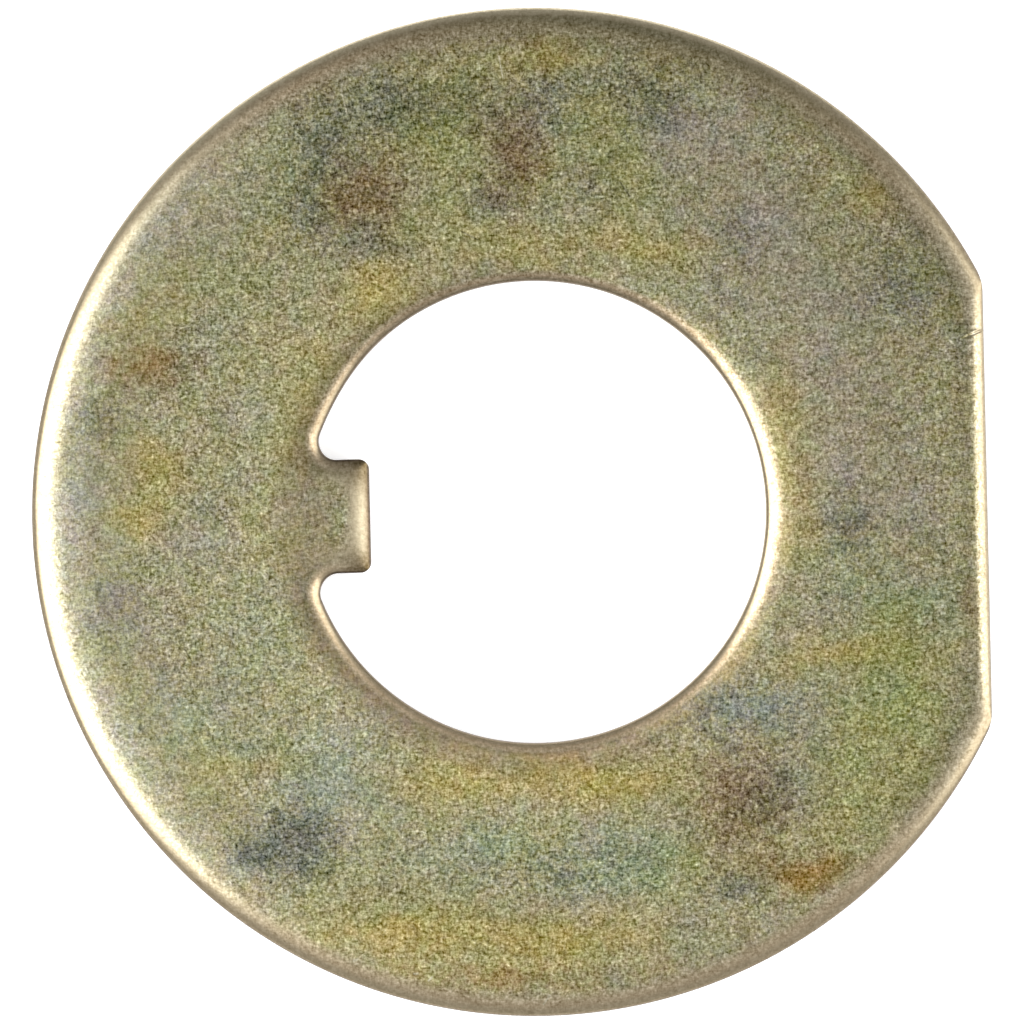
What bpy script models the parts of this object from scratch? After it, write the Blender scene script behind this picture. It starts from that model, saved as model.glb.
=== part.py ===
"""Keyed spindle washer: one stamped steel ring with a flat on its rim and a tongue in its bore.

Metres, +Z up. The washer lies on its burr side at z = 0, with its rolled side up. +X runs through
the middle of the flat, and the tongue stands on the -X side of the bore. The origin is the middle
of the footprint, so the bore's axis stands a little to +X of it.
"""

from math import atan2, cos, pi, radians, sin, sqrt

import bmesh
import bpy

# Driving dimensions, in metres
OUTER_DIAMETER = 0.05588
BORE_DIAMETER = 0.02566
THICKNESS = 0.0032
FLAT_DEPTH = 0.00283
FLAT_CORNER_RADIUS = 0.003
TONGUE_WIDTH = 0.0063
TONGUE_LENGTH = 0.00369
TONGUE_CORNER_RADIUS = 0.0006
TONGUE_ROOT_RADIUS = 0.0011

# Die roll: the upper edges are drawn down as the punch bites, by shares of the sheet's thickness
RIM_ROLL_WIDTH = 1.05 * THICKNESS
FLAT_ROLL_WIDTH = 0.5 * THICKNESS
RIM_ROLL_DEPTH = 0.21 * THICKNESS
BORE_ROLL_WIDTH = 0.4 * THICKNESS
FLANK_ROLL_WIDTH = 0.2 * THICKNESS
TIP_ROLL_WIDTH = 0.36 * THICKNESS
BORE_ROLL_DEPTH = 0.16 * THICKNESS
ROLL_POWER = 2.4
CORNER_ROLL_GROWTH = 1.5

# Sheared wall: an upright burnished band, then a fracture that breaks out to the burr side
BURNISHED_HEIGHT = 0.35 * THICKNESS
BREAKOUT = 0.04 * THICKNESS
EDGE_BREAK = 0.03 * THICKNESS

# Room that a rounding leaves on the stretch it is cut into
LARGEST_ROOT_SHARE = 0.4
LARGEST_CORNER_SHARE = 0.9
LARGEST_TIP_ROLL_SHARE = 0.4

# Fineness of the curves, as straight steps on each
RIM_STEPS = 152
BORE_STEPS = 88
CORNER_STEPS = 7
ROOT_STEPS = 7
STRAIGHT_STEPS = 4
ROLL_STEPS = 8
SHARP_EDGE_ANGLE = radians(35)

# Finish: zinc plate under a yellow chromate film
PLATE_COLOUR = (0.33, 0.30, 0.19, 1.0)
PLATE_ROUGHNESS = 0.42

RIM_RADIUS = OUTER_DIAMETER / 2
BORE_RADIUS = BORE_DIAMETER / 2
FLAT_FROM_AXIS = RIM_RADIUS - FLAT_DEPTH
TIP_FROM_AXIS = BORE_RADIUS - TONGUE_LENGTH
BORE_AXIS_X = FLAT_DEPTH / 2


def arc(centre, radius, start, end, steps):
    """Points along an arc from one angle to another, without the last one."""
    turns = [start + (end - start) * i / steps for i in range(steps)]
    return [(centre[0] + radius * cos(t), centre[1] + radius * sin(t)) for t in turns]


def straight(start, end, steps):
    """Points along a straight line, without the last one."""
    shares = [i / steps for i in range(steps)]
    return [
        (start[0] + (end[0] - start[0]) * s, start[1] + (end[1] - start[1]) * s) for s in shares
    ]


def rim_outline(rim_inset, flat_inset):
    """The outer outline about the bore's axis, anticlockwise: flat, corner, round rim, corner."""
    radius = RIM_RADIUS - rim_inset
    flat = FLAT_FROM_AXIS - flat_inset
    corner = FLAT_CORNER_RADIUS
    corner_x = flat - corner
    corner_y = sqrt((radius - corner) ** 2 - corner_x**2)
    meets = atan2(corner_y, corner_x)
    return (
        straight((flat, -corner_y), (flat, corner_y), STRAIGHT_STEPS)
        + arc((corner_x, corner_y), corner, 0, meets, CORNER_STEPS)
        + arc((0, 0), radius, meets, 2 * pi - meets, RIM_STEPS)
        + arc((corner_x, -corner_y), corner, -meets, 0, CORNER_STEPS)
    )


def flank_length():
    """How far the tongue stands out of the bore at its flanks."""
    return sqrt(BORE_RADIUS**2 - (TONGUE_WIDTH / 2) ** 2) - TIP_FROM_AXIS


def root_radius():
    """The fillet at the tongue's root, held short of the whole flank of a stubby tongue."""
    return min(TONGUE_ROOT_RADIUS, LARGEST_ROOT_SHARE * flank_length())


def tip_roll_width():
    """The roll at the tongue's tip, held short of the whole flank of a stubby tongue."""
    return min(TIP_ROLL_WIDTH, LARGEST_TIP_ROLL_SHARE * flank_length())


def bore_outline(bore_inset, flank_inset, tip_inset):
    """The inner outline about the bore's axis, anticlockwise: the tongue from its upper root round
    its tip to its lower root, then the bore. A root fillet touches the flank and the bore."""
    radius = BORE_RADIUS + bore_inset
    half = TONGUE_WIDTH / 2 - flank_inset
    tip = TIP_FROM_AXIS + tip_inset
    root = root_radius() + flank_inset
    root_y = half + root
    root_x = -sqrt((radius - root) ** 2 - root_y**2)
    meets = atan2(root_y, root_x)
    room = LARGEST_CORNER_SHARE * min(-root_x - tip, half)
    corner = min(TONGUE_CORNER_RADIUS + CORNER_ROLL_GROWTH * flank_inset, room)
    corner_x = -(tip + corner)
    corner_y = half - corner
    return (
        arc((root_x, root_y), root, meets, 1.5 * pi, ROOT_STEPS)
        + straight((root_x, half), (corner_x, half), STRAIGHT_STEPS)
        + arc((corner_x, corner_y), corner, pi / 2, 0, CORNER_STEPS)
        + straight((-tip, corner_y), (-tip, -corner_y), STRAIGHT_STEPS)
        + arc((corner_x, -corner_y), corner, 0, -pi / 2, CORNER_STEPS)
        + straight((corner_x, -half), (root_x, -half), STRAIGHT_STEPS)
        + arc((root_x, -root_y), root, pi / 2, 2 * pi - meets, ROOT_STEPS)
        + arc((0, 0), radius, 2 * pi - meets, 2 * pi + meets, BORE_STEPS)
    )


def wall_stations(roll_depth):
    """The wall's section from the burr side up. Each station is a height, a share of the roll's
    width and the plain inset of the fracture. The roll is a quarter of a superellipse, which
    turns down late and then quickly."""
    wall_top = THICKNESS - roll_depth
    fracture = [
        (0, 0, BREAKOUT + EDGE_BREAK),
        (EDGE_BREAK, 0, BREAKOUT),
        (wall_top - BURNISHED_HEIGHT, 0, 0),
    ]
    turns = [pi / 2 * i / ROLL_STEPS for i in range(ROLL_STEPS + 1)]
    return fracture + [
        (wall_top + roll_depth * sin(t), 1 - abs(cos(t)) ** (2 / ROLL_POWER), 0) for t in turns
    ]


def add_wall(mesh, outline, roll_widths, roll_depth, outwards):
    """Lofts one wall through its sections, and returns its lowest and highest loops of points.
    The outlines differ from section to section, because the roll is wider where the edge bulges
    out or in than along a straight stretch, so no single bevel makes this shape."""
    rings = []
    for height, share, inset in wall_stations(roll_depth):
        points = outline(*(width * share + inset for width in roll_widths))
        rings.append([mesh.verts.new((x, y, height)) for x, y in points])
    for lower, upper in zip(rings, rings[1:]):
        for i in range(len(lower)):
            quad = (lower[i - 1], lower[i], upper[i], upper[i - 1])
            mesh.faces.new(quad if outwards else quad[::-1])
    return rings[0], rings[-1]


def add_face(mesh, loops, normal):
    """Closes the flat ring between two loops of points."""
    edges = [mesh.edges.get((loop[i - 1], loop[i])) for loop in loops for i in range(len(loop))]
    bmesh.ops.triangle_fill(mesh, use_beauty=True, edges=edges, normal=normal)


def washer_mesh():
    """The whole stamping as one closed body."""
    mesh = bmesh.new()
    rim_rolls = (RIM_ROLL_WIDTH, FLAT_ROLL_WIDTH)
    rim_low, rim_high = add_wall(mesh, rim_outline, rim_rolls, RIM_ROLL_DEPTH, True)
    bore_rolls = (BORE_ROLL_WIDTH, FLANK_ROLL_WIDTH, tip_roll_width())
    bore_low, bore_high = add_wall(mesh, bore_outline, bore_rolls, BORE_ROLL_DEPTH, False)
    add_face(mesh, (rim_high, bore_high), (0, 0, 1))
    add_face(mesh, (rim_low, bore_low), (0, 0, -1))
    bmesh.ops.recalc_face_normals(mesh, faces=mesh.faces)
    made = bpy.data.meshes.new("washer")
    mesh.to_mesh(made)
    mesh.free()
    made.shade_smooth()
    made.set_sharp_from_angle(angle=SHARP_EDGE_ANGLE)
    return made


def plate_material():
    """Zinc plate with a yellow chromate film, as a satin metal."""
    material = bpy.data.materials.new("zinc_plate")
    material.use_nodes = True
    shader = material.node_tree.nodes["Principled BSDF"]
    shader.inputs["Base Color"].default_value = PLATE_COLOUR
    shader.inputs["Metallic"].default_value = 1.0
    shader.inputs["Roughness"].default_value = PLATE_ROUGHNESS
    return material


def main():
    for old in list(bpy.data.objects):
        bpy.data.objects.remove(old)
    collection = bpy.data.collections.new("spindle_washer")
    bpy.context.scene.collection.children.link(collection)
    washer = bpy.data.objects.new("washer", washer_mesh())
    washer.location = (BORE_AXIS_X, 0, 0)
    washer.data.materials.append(plate_material())
    collection.objects.link(washer)


main()
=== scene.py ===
"""Looks of the keyed spindle washer: a stamped steel ring, zinc plated under a stained chromate.

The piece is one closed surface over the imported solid. Lengths are in millimetres while it is
worked out, and metres once it is made. The washer's own axes are used throughout: +X runs from
the bore's axis to the rim's flat, +Z comes out of the rolled side, towards the camera. The front
is the -Y side, which is low in the photo, and the back is the +Y side.
"""

import math

import bpy
import numpy as np
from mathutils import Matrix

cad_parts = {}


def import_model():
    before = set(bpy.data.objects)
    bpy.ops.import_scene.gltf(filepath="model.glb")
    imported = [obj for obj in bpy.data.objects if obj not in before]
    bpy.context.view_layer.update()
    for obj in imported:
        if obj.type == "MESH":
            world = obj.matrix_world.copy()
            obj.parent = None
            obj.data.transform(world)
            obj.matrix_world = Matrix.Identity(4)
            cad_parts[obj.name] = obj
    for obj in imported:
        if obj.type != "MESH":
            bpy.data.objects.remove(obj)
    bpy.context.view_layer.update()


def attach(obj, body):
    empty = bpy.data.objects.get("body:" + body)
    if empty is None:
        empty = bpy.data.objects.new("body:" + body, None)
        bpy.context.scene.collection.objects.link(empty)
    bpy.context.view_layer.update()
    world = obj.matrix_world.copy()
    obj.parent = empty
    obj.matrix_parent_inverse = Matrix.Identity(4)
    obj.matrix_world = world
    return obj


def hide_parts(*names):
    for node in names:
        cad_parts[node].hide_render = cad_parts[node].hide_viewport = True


# The washer's sizes, as in the solid
MM = 0.001
RIM_RADIUS = 27.94
BORE_RADIUS = 12.83
THICKNESS = 3.2
FLAT_DEPTH = 2.83
FLAT_CORNER = 3.0
TONGUE_HALF = 3.15
TONGUE_LENGTH = 3.69
TONGUE_CORNER = 0.6
TONGUE_ROOT = 1.1
RIM_ROLL = 1.05 * THICKNESS
FLAT_ROLL = 0.5 * THICKNESS
RIM_ROLL_DEPTH = 0.21 * THICKNESS
RIM_ROLL_POWER = 2.4
BORE_ROLL_DEPTH = 0.16 * THICKNESS
BURNISHED = 0.35 * THICKNESS
BREAKOUT = 0.04 * THICKNESS
EDGE_BREAK = 0.03 * THICKNESS
FLAT_FROM_AXIS = RIM_RADIUS - FLAT_DEPTH
TIP_FROM_AXIS = BORE_RADIUS - TONGUE_LENGTH
BORE_AXIS_X = FLAT_DEPTH / 2

# The bore's roll: its widths, how much wider it is on the tongue's side and on the flat's side,
# and its shape
BORE_ROLL = 0.36 * THICKNESS
BORE_ROLL_UNEVEN = 0.38
BORE_ROLL_UNEVEN_RIGHT = 0.75
FLANK_ROLL = 0.36 * THICKNESS
TIP_ROLL = 0.42 * THICKNESS
BORE_ROLL_POWER = 2.0

# How softly the rolls of two edges meet, as the power that both() takes, and shares of a roll
# that are as good as on the edge and past every roll
FLAT_MEETING = 2.4
TIP_MEETING = 1.8
NEAREST = 1e-4
PAST_EVERY_ROLL = 9

# Where the tongue is treated by itself, as the middle and the reach of a bell curve, and how it
# droops towards its tip: how far, over what length and by what power of the way
TONGUE_MIDDLE_X = -9.4
TONGUE_REACH_X = 3.2
TONGUE_REACH_Y = 3.9
TIP_DROOP = 0.3
DROOP_LENGTH = 2.4
DROOP_POWER = 1.5

# How much the rolls' depth wanders round the edge, and over what length
WANDER = 0.16
WANDER_PITCH = 9
WANDER_SEED = 5

# How deep the fracture's roughness goes into the metal, and its pitch
TORN_DEPTH = 0.03
TORN_PITCH = 0.5
TORN_SEED = 7

# The outline's small faults: the rim's ovalness, how far the bore stands in everywhere and by
# the tongue's upper root, and where each of them is or ends
OVALNESS = 0.035
OVAL_TURN = math.radians(78)
BORE_SHORT = 0.035
ROOT_BULGE = 0.13
ROOT_BULGE_TURN = math.radians(153)
ROOT_BULGE_HALF = math.radians(17)
BORE_FAULT_FADE = 3
TONGUE_SPARED_RADIUS = 11
TONGUE_SPARED_FADE = 1.5

# Columns on each stretch of half the outline, from the middle of the flat to the tongue's middle
FLAT_COLUMNS = 96
CORNER_COLUMNS = 14
ROUND_COLUMNS = 270
ROOT_COLUMNS = 22
FLANK_COLUMNS = 10
TIP_CORNER_COLUMNS = 16
TIP_COLUMNS = 16

# The nick across the flat's edge: its ends, half width and depth, the least share of that depth,
# its raised lip's place in half widths and height, the share of the roll over which it starts,
# and how the flat's columns crowd round it, as shares of the columns and of the half length
NICK = ((23.95, 9.08), (25.4, 9.64))
NICK_HALF_WIDTH = 0.06
NICK_DEPTH = 0.075
NICK_LEAST = 0.35
NICK_LIP_PLACE = 2.3
NICK_LIP_HEIGHT = 0.5
NICK_START = 0.1
FLAT_CROWDING = ((0, 0.38, 0.86, 1), (0, 0.75, 0.87, 1))

# Where the ends of the tongue's stretches meet the far side of the rim, from its root's fillet to
# its tip's corner, as distances from the middle line
FAN_LINES = (8.8, 2.0, 1.7, 1.1)

# Rows on each stretch of the section, and the shares of the way from the bore to the rim that
# the crowded rows of the two rolls take
EDGE_ROWS = 3
FRACTURE_ROWS = 4
BURNISHED_ROWS = 3
ROLL_ROWS = 15
PLAIN_ROWS = 36
UNDER_ROWS = 8
BORE_STRETCH = 0.1
RIM_STRETCH = 0.24

# Soft noise: how many corners its lattice has before it repeats, and each octave's strength over
# the one before
LATTICE = 256
OCTAVE_FALL = 0.6

# Stains: how far noise bends their rims, and over what length
STAIN_BEND = 1.6
STAIN_PITCH = 1.8
STAIN_SEEDS = (11, 23)
STAIN_OCTAVES = 4

# Painted light, which makes the film paler: its level at the axis, more for each millimetre along
# x and y, more on the ring round the bore, and how patchy it is
PALE_LEVEL = 0.42
PALE_BY_X = -0.001
PALE_BY_Y = -0.0077
PALE_RING = 0.2
PALE_RING_RADIUS = 15.4
PALE_RING_WIDTH = 2.6
PALE_LEAST = 0.7
PALE_PATCHES = 0.6
PALE_PITCH = 3.5
PALE_SEED = 31
PALE_OCTAVES = 4

# The bands round the bore where the film is browner, and where painted light and shade make it
# brighter at the front and darker at the back, by the turn
COLLAR_WIDTH = 1.7
COLLAR_TURN = math.radians(240)
LIP_WIDTH = 0.75
LIP_NARROWING = 0.35
LIP_LIGHT_CONTRAST = 0.3

# The tongue's corners that painted shade darkens: y of the middle and half width along y, and half
# width along x
TIP_CORNER_SHADES = ((3.4, 1.9), (-3.4, 1.5))
TIP_CORNER_X = 1.2

# Where the looks of an edge change, as a place or turn and the width over which they do; several
# of them also place painted light and shade. Turns are in degrees about the bore's axis, from the
# middle of the flat anticlockwise
RIM_SIDE = 22.36
TAN_FROM = (-21, 8)
TAN_UNTIL = (19, 4)
TAN_LEFT_AT_FLAT = 0.3
LEFT_FROM = (13, 8)
LEFT_FALL = 0.35
FRONT_FROM = (9, 15)
DUSK_TURN = (76, 24)
CREST_TURN = (98, 48)
SHOULDER_TURN = -45

# Stains on the face: middle x and y about the bore's axis, half widths along x and y, strength
RUST_STAINS = (
    (-8.9, 18.3, 1.5, 1.5, 0.8),
    (-9.2, 17.0, 1.5, 0.9, 0.6),
    (-0.6, 19.9, 1.4, 1.9, 0.9),
    (-21.1, 8.5, 1.7, 1.0, 0.9),
    (14.2, -20.3, 1.9, 0.8, 1.0),
    (10.8, -16.2, 2.3, 2.2, 0.85),
    (23.9, -5.0, 0.4, 1.1, 0.5),
    (20.9, 16.8, 1.7, 1.1, 0.4),
    (1.8, 25.2, 1.4, 0.5, 0.35),
    (-2.0, -25.6, 5.0, 0.6, 0.5),
)
SLATE_STAINS = (
    (-9.6, 17.8, 2.2, 2.3, 0.2),
    (-0.8, 19.8, 1.8, 2.4, 0.25),
    (11.8, -15.6, 2.5, 2.1, 0.25),
    (-14.2, -18.2, 2.6, 1.5, 0.2),
    (-7.0, 22.7, 1.9, 1.2, 0.8),
    (-12.5, 17.3, 0.9, 1.5, 0.6),
    (-8.4, 15.2, 1.6, 0.7, 0.6),
    (-3.1, 22.9, 1.0, 1.0, 0.5),
    (-2.2, 17.3, 1.1, 0.8, 0.5),
    (11.4, 14.9, 1.2, 0.9, 0.4),
    (-13.5, -18.0, 1.3, 1.4, 1.0),
    (-16.1, -18.6, 0.8, 0.6, 0.7),
    (-11.2, 20.9, 1.3, 1.7, 0.7),
    (6.9, 22.7, 1.6, 1.3, 0.7),
    (1.7, 23.5, 1.4, 0.9, 0.6),
    (17.5, -1.0, 0.9, 1.2, 0.7),
    (-24.0, 5.6, 1.1, 0.9, 0.6),
    (-23.4, -4.9, 1.0, 1.3, 0.5),
    (11.1, -11.0, 2.8, 1.2, 0.4),
    (4.0, 17.5, 1.4, 1.4, 0.4),
    (20.5, 12.1, 1.4, 1.4, 0.6),
    (1.2, -19.8, 3.3, 1.1, 0.3),
    (12.7, -16.3, 1.3, 1.1, 0.35),
    (10.6, -21.0, 0.9, 0.6, 0.7),
)
GREY_STAINS = (
    (9.1, 20.4, 2.4, 1.7, 0.8),
    (12.3, 17.0, 2.4, 1.9, 0.8),
    (14.5, 13.1, 2.8, 2.2, 0.8),
    (17.4, 7.4, 2.7, 3.3, 0.8),
    (19.2, 0.2, 2.4, 2.8, 0.8),
    (-24.7, 1.8, 1.0, 1.9, 0.6),
    (-19.5, -1.1, 1.3, 1.1, 0.8),
    (-23.4, -4.9, 1.2, 1.1, 0.6),
    (13.3, -11.6, 3.3, 1.3, 0.6),
    (-11.2, -15.2, 2.4, 1.7, 0.5),
    (-17.1, 17.1, 2.2, 2.8, 0.4),
    (-18.8, -10.0, 2.2, 1.7, 0.5),
    (13.0, 22.0, 1.7, 1.1, 0.5),
)
YELLOW_STAINS = (
    (14.6, -20.4, 1.7, 0.7, 1.0),
    (2.0, 25.1, 1.7, 0.6, 0.7),
    (-0.5, 15.1, 3.3, 1.0, 0.6),
    (-8.3, 12.5, 2.2, 1.4, 0.8),
    (-12.4, 6.5, 1.4, 2.8, 0.6),
    (-20.8, 3.1, 1.4, 1.2, 0.7),
    (-21.9, 0.0, 1.3, 0.9, 0.6),
    (6.7, 14.4, 2.2, 1.1, 0.7),
    (-5.1, -14.8, 2.8, 1.0, 0.8),
    (3.2, -15.0, 3.3, 1.1, 1.0),
    (-8.0, -23.1, 3.3, 0.9, 0.9),
    (0.8, -23.3, 3.9, 0.9, 0.9),
    (17.3, -8.4, 3.3, 0.8, 0.8),
    (14.7, 0.3, 1.1, 3.3, 0.6),
    (13.7, 5.9, 0.9, 2.2, 0.5),
    (19.0, 16.8, 1.1, 0.9, 0.6),
    (-16.2, -13.7, 2.8, 0.6, 0.5),
    (-21.3, 8.6, 1.2, 0.8, 0.8),
    (-2.0, -25.4, 6.0, 0.8, 0.5),
)
GREEN_STAINS = (
    (-4.6, 22.0, 2.2, 1.6, 0.8),
    (-4.8, 19.6, 1.6, 1.8, 0.6),
    (4.4, 21.6, 1.8, 2.2, 0.7),
    (5.4, 17.6, 1.6, 1.4, 0.5),
    (-13.6, 19.6, 1.6, 1.6, 0.5),
    (-6.4, 16.2, 2.6, 1.0, 0.6),
    (16.6, 13.4, 1.6, 2.4, 0.5),
    (19.4, -13.2, 2.2, 3.0, 1.0),
    (16.4, -15.4, 1.6, 2.6, 0.7),
    (20.6, -7.6, 2.0, 2.4, 0.7),
    (7.6, -19.4, 2.2, 1.8, 0.6),
    (-9.0, -21.0, 3.0, 1.4, 0.5),
    (-13.4, 3.6, 2.0, 3.4, 0.4),
    (-17.2, 13.4, 2.4, 2.2, 0.4),
)
TEAL_STAINS = (
    (-11.0, -15.2, 2.4, 1.2, 0.9),
    (12.2, -11.2, 2.2, 1.2, 0.7),
    (18.6, -9.8, 2.2, 1.4, 0.6),
    (-18.9, -11.7, 2.2, 1.7, 0.7),
    (-12.2, -12.4, 2.2, 1.1, 0.6),
    (-3.5, -18.7, 2.8, 1.1, 0.9),
    (5.4, -18.9, 2.2, 1.0, 0.9),
    (20.1, -5.4, 2.2, 1.1, 0.8),
    (-16.0, -6.8, 2.2, 1.7, 0.5),
    (3.7, -20.6, 2.8, 0.8, 0.7),
    (16.9, -3.1, 1.7, 1.3, 0.5),
    (1.9, 21.7, 1.1, 1.1, 0.5),
    (-12.6, 19.8, 1.1, 1.1, 0.5),
)

# The kinds of stain, with what each multiplies the film's colour by
STAINS = (
    ("yellow", YELLOW_STAINS, (1.12, 1.0, 0.62, 1)),
    ("green", GREEN_STAINS, (0.93, 0.98, 0.72, 1)),
    ("teal", TEAL_STAINS, (0.88, 1.02, 1.07, 1)),
    ("grey", GREY_STAINS, (1.03, 1.0, 1.25, 1)),
    ("slate", SLATE_STAINS, (0.52, 0.56, 0.72, 1)),
    ("rust", RUST_STAINS, (0.75, 0.6, 0.56, 1)),
)

# Marks on the face: both ends about the bore's axis and half the width
LIGHT_MARKS = (
    ((-1.52, -19.44), (-2.23, -21.14), 0.05),
    ((-2.23, -21.14), (-2.55, -20.63), 0.05),
    ((-1.42, 25.26), (-1.23, 24.09), 0.05),
    ((-10.16, 24.47), (-10.14, 23.4), 0.06),
    ((-10.14, 23.4), (-9.9, 22.3), 0.05),
    ((12.91, 18.21), (13.16, 17.2), 0.05),
    ((23.13, 8.98), (23.4, 8.69), 0.06),
    ((22.6, 8.5), (22.9, 8.4), 0.06),
    ((-10.6, -24.6), (-10.4, -24.5), 0.08),
    ((-7.3, -25.4), (-7.1, -25.4), 0.08),
    ((17.5, -18.4), (17.8, -18.3), 0.06),
    ((20.5, 16.0), (20.8, 15.9), 0.06),
    ((-19.0, 2.9), (-18.8, 2.7), 0.06),
    ((-0.16, -27.25), (0.18, -26.77), 0.06),
    ((-6.5, -25.8), (-6.3, -25.6), 0.06),
)
DARK_MARKS = (
    ((5.42, 21.05), (5.63, 20.38), 0.06),
    ((5.13, 18.11), (5.67, 17.32), 0.06),
    ((-3.7, 15.6), (-2.82, 15.13), 0.05),
    ((-19.56, -7.13), (-19.13, -7.92), 0.05),
    ((-9.5, 21.2), (-6.6, 20.9), 0.04),
    ((1.2, 21.5), (3.4, 21.4), 0.04),
)

# How far the marks of one layer lie apart at least, how far from a mark its fields hold, on how
# many of its points that is tried, where its cover starts to fade and ends, in half widths, and
# the fields' names
MARKS_APART = 2.0
MARK_REACH = 0.6
MARK_POINTS = 9
MARK_FADE = (0.3, 1.3)
MARK_PARTS = ("off", "ahead", "half", "near")

# Colours of the film and the metal, 0 to 255; some of them are painted light and painted shade, as
# marked
FILM_YELLOW = (131, 125, 88)
FILM_GREY = (128, 125, 101)
# Painted light: the paler film that the painted light field blends towards
LIT_FILM = (163, 158, 127)
BARE = (170, 162, 137)
BARE_TAN = (179, 160, 131)
# Painted shade: the bare tan film darker along the back of the rim
BARE_DUSK_SHADE = (166, 154, 117)
BROW = (152, 139, 114)
# Painted shade along the back of the rim
DUSK_SHADE = (140, 132, 104)
# Painted light: the paler outermost edge at the back of the rim
CREST_LIGHT = (192, 181, 153)
# The tongue's roll: partly the film's own tan, partly a painted highlight
TONGUE_TAN_AND_SHEEN = (163, 152, 127)
# Painted shade at the tongue's outline
TONGUE_OUTLINE_SHADE = (126, 110, 88)
# Painted shade on the tongue's corners
TONGUE_CORNER_SHADE = (104, 91, 67)
# Painted shade along the outermost edge
EDGE_SHADE_LINE = (88, 76, 64)
LIGHT_MARK = (196, 190, 166)
DARK_MARK = (64, 60, 52)

# The kinds of mark, with each one's colour and how far it covers the film
MARKS = (
    ("light mark", LIGHT_MARKS, LIGHT_MARK, 0.6),
    ("dark mark", DARK_MARKS, DARK_MARK, 0.5),
)

# Pairs of tints that patches of the film are multiplied by
WARM_TINTS = ((1.03, 1.02, 0.88, 1), (0.98, 0.99, 1.09, 1))
ROSY_TINTS = ((1.05, 0.99, 1.02, 1), (0.94, 1.01, 0.97, 1))
SPECKLE_TINTS = ((1.0, 1.0, 0.87, 1), (1.0, 1.0, 1.13, 1))
COLLAR_TINT = (0.84, 0.74, 0.78, 1)
# Painted highlight: the tint that brightens the bore's roll on its right front side
SHOULDER_LIGHT_TINT = (1.5, 1.45, 1.4, 1)

# Noises of the film, as waves a millimetre, detail, roughness and distortion, the values between
# which two of them spread, and how ragged and how soft the stains' rims are
DRIFT_NOISE = (0.22, 4.0, 0.6)
WARM_NOISE = (0.3, 4.0, 0.65)
ROSY_NOISE = (0.8, 2.0, 0.6, 0.4)
SPECKLE_NOISE = (3.0, 2.0, 0.6)
RAGGED_NOISE = (1.5, 5.0, 0.8)
DRIFT_SPREAD = (0.35, 0.65)
TINT_SPREAD = (0.36, 0.64)
GREY_EVENS = -0.6
STAIN_RAGGED = 1.6
STAIN_FADE = (0.1, 0.9)

# Where each treatment of the rolls starts and is whole, or starts to end and has ended, as shares
# of the roll from its inner edge
BARE_FROM = (0.5, 0.74)
BARE_FROM_IN_FRONT = (0.6, 0.84)
BROW_FROM = (0.74, 0.9)
DUSK_FROM = (0.64, 0.78)
DUSK_UNTIL = (0.86, 0.93)
CREST_FROM = (0.86, 0.94)
SHOULDER_FROM = (0.08, 0.35)
SHOULDER_UNTIL = (0.5, 0.78)
TONGUE_FROM = (0.02, 0.3)
OUTLINE_FROM = (0.72, 0.92)
CORNERS_FROM = (0.15, 0.5)
SMOOTH_FROM = (0.6, 0.92)
SMOOTH_TONGUE_FROM = (0.08, 0.35)
SHINY_FROM = (0.15, 0.6)

# The dark outermost line, which is painted shade: where it fades out, in millimetres from the
# edge, how strong it is, and what the lit side of the bore and the crest of the rim take off
LINE_FADE = (0.03, 0.13)
LINE_STRENGTH = 0.85
LINE_LIT = -0.7
LINE_CREST = -0.6

# Painted highlight, as lighter bands on the rim's roll: where on the roll each starts and is
# whole, and tint
LEFT_LIGHT_BAND = (0.05, 0.35, (1.25, 1.25, 1.5, 1))
RIGHT_LIGHT_BANDS = (
    (0.05, 0.2, (1.13, 1.11, 1.1, 1)),
    (0.3, 0.5, (1.22, 1.2, 1.2, 1)),
)

# The grain: each part's strength, the strokes' cells a millimetre, length, width and turns, the
# noises as above, and how strong the whole is, where it is smoothed and where it is calmer
CRYSTALS = 0.54
FIBRES = 0.4
CLOUDS = 0.24
DARK_STROKES = -0.13
LIGHT_STROKES = 0.1
DARK_STROKE = {"Cells": 2.4, "Length": 0.2, "Width": 0.05, "Least Turn": 0.0, "Turn": 3.14}
LIGHT_STROKE = {"Cells": 1.6, "Length": 0.28, "Width": 0.045, "Least Turn": -0.5, "Turn": 1.8}
FIBRE_WAVES = (4.5, 9.5)
FIBRE_NOISE = (1.0, 1.0, 0.5)
CRYSTAL_NOISE = (5.0, 2.0, 0.6)
CLOUD_NOISE = (1.3, 3.0, 0.6)
GRAIN_AMOUNT = 1.15
GRAIN_SMOOTHED = -0.88
GRAIN_CALMED = (("grey", -0.2), ("collar", -0.45), ("left", -0.25))
CAMERA_GAMMA = 2.2
DARKEST = (0.02, 0.02, 0.02)

# The metal: roughness on the face, less on the rolls, but less of that on the tongue, and relief
ROUGHNESS = 0.45
ROLL_SMOOTHER = -0.17
TONGUE_ROUGHER = 0.13
RELIEF = 0.4
RELIEF_DEPTH = 0.00002

# The floor, in metres, with its white, and the glow that only rays that show it see
FLOOR_SIZE = 4
FLOOR_DROP = 0.00002
FLOOR_WHITE = (0.9, 0.9, 0.9, 1)
FLOOR_ROUGHNESS = 0.9
FLOOR_GLOW = 0.55

# Soft boxes: name, place and size in metres, power in watts
LAMPS = (
    ("left_box", (-0.525, -0.05, 0.605), (0.66, 0.5), 6.7),
    ("right_box", (0.66, -0.04, 0.36), (0.72, 0.75), 5.3),
)

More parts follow.
